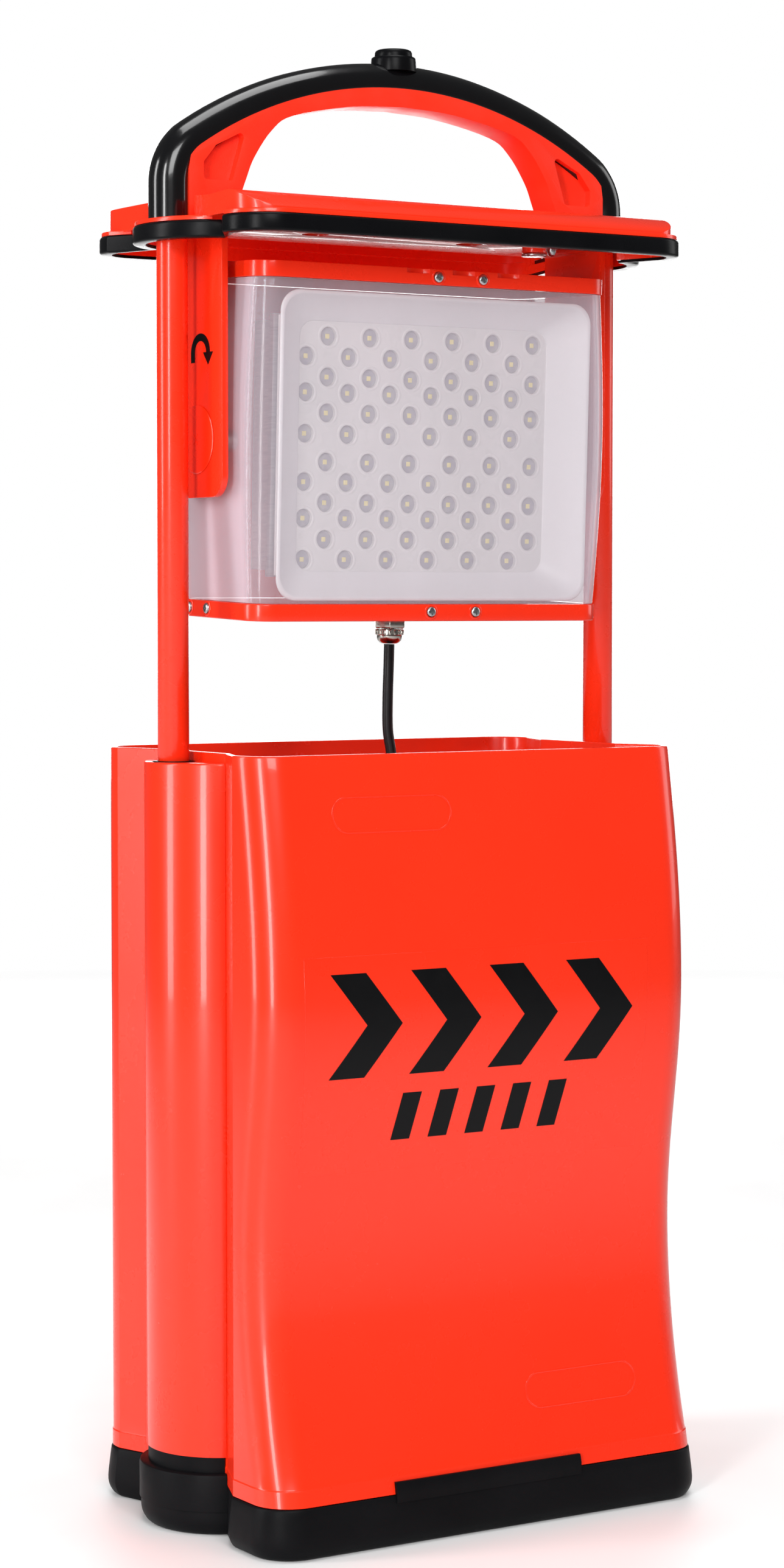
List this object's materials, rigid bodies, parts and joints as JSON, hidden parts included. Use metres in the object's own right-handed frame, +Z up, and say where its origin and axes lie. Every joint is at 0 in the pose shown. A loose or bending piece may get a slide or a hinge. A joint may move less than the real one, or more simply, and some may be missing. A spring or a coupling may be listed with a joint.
{
  "type": "portable floodlight",
  "caption": "Rechargeable site floodlight: tall open case on a rubber boot, telescoping two-tube mast with lid and carry handle, tilting LED head with a clear window.",
  "frame": {"origin": "centre of the flat underside of the rubber boot, on the plane of the two mast tubes", "axes": "+Z up along the mast, +X to the light's right as seen from the front, -Y towards the front that the LED head lights"},
  "size_m": [0.3744, 0.2432, 0.9565],
  "materials": {
    "case_orange": "glossy injection-moulded plastic",
    "frame_orange": "powder coated, semi-gloss",
    "rubber_black": "fine satin grain",
    "plastic_black": "moulded matte",
    "reflector_white": "moulded white",
    "window_clear": "clear polycarbonate",
    "steel": "brushed stainless",
    "nickel": "nickel plated brass",
    "aluminium": "satin extrusion",
    "battery_grey": "moulded matte"
  },
  "bodies": {
    "root": {"rubber_boot": "rubber_black", "case_shell": "case_orange", "column_left": "case_orange", "column_right": "case_orange", "mast_bush_left": "rubber_black", "mast_bush_right": "rubber_black", "battery": "battery_grey", "charger_module": "aluminium", "equipment_deck": "plastic_black", "deck_gland": "plastic_black", "charge_socket": "plastic_black", "socket_cap": "rubber_black", "slack_cable": "rubber_black"},
    "mast": {"mast_tube_left": "frame_orange", "mast_tube_right": "frame_orange", "slide_shoe_left": "plastic_black", "slide_shoe_right": "plastic_black", "handle_bow": "steel", "grip_sleeve": "rubber_black", "grip_moulding": "case_orange", "lid": "case_orange", "lid_bridge": "frame_orange", "lid_trim": "rubber_black", "head_arm_left": "frame_orange", "head_arm_right": "frame_orange", "pivot_cap_left": "frame_orange", "pivot_cap_right": "frame_orange", "buffer_post": "case_orange", "buffer_pad": "steel", "detent_plunger": "steel", "switch_collar": "rubber_black", "head_cable": "rubber_black"},
    "head": {"head_top_frame": "case_orange", "head_bottom_frame": "case_orange", "window": "window_clear", "rear_cover": "case_orange", "reflector_tray": "reflector_white", "lens_plate": "reflector_white", "led_board": "reflector_white", "heat_sink": "aluminium", "led_driver": "plastic_black", "pivot_pin_left": "steel", "pivot_pin_right": "steel", "gland_body": "nickel", "gland_nut": "nickel", "window_screw_1": "steel", "window_screw_2": "steel", "window_screw_3": "steel", "window_screw_4": "steel", "window_screw_5": "steel", "window_screw_6": "steel", "window_screw_7": "steel", "window_screw_8": "steel"},
    "button": {"switch_button": "rubber_black"}
  },
  "joints": [
    {"name": "mast_slide", "type": "slide", "parent": "root", "child": "mast", "axis": [0, 0, 1], "range_m": [-0.32, 0], "deforming": ["slack_cable"]},
    {"name": "head_tilt", "type": "hinge", "parent": "mast", "child": "head", "pos_m": [0, 0, 0.698], "axis": [1, 0, 0], "range_deg": [-2, 178]},
    {"name": "power_button", "type": "slide", "parent": "mast", "child": "button", "axis": [0, 0, -1], "range_m": [0, 0.0015], "stiffness_N_per_m": 900}
  ]
}
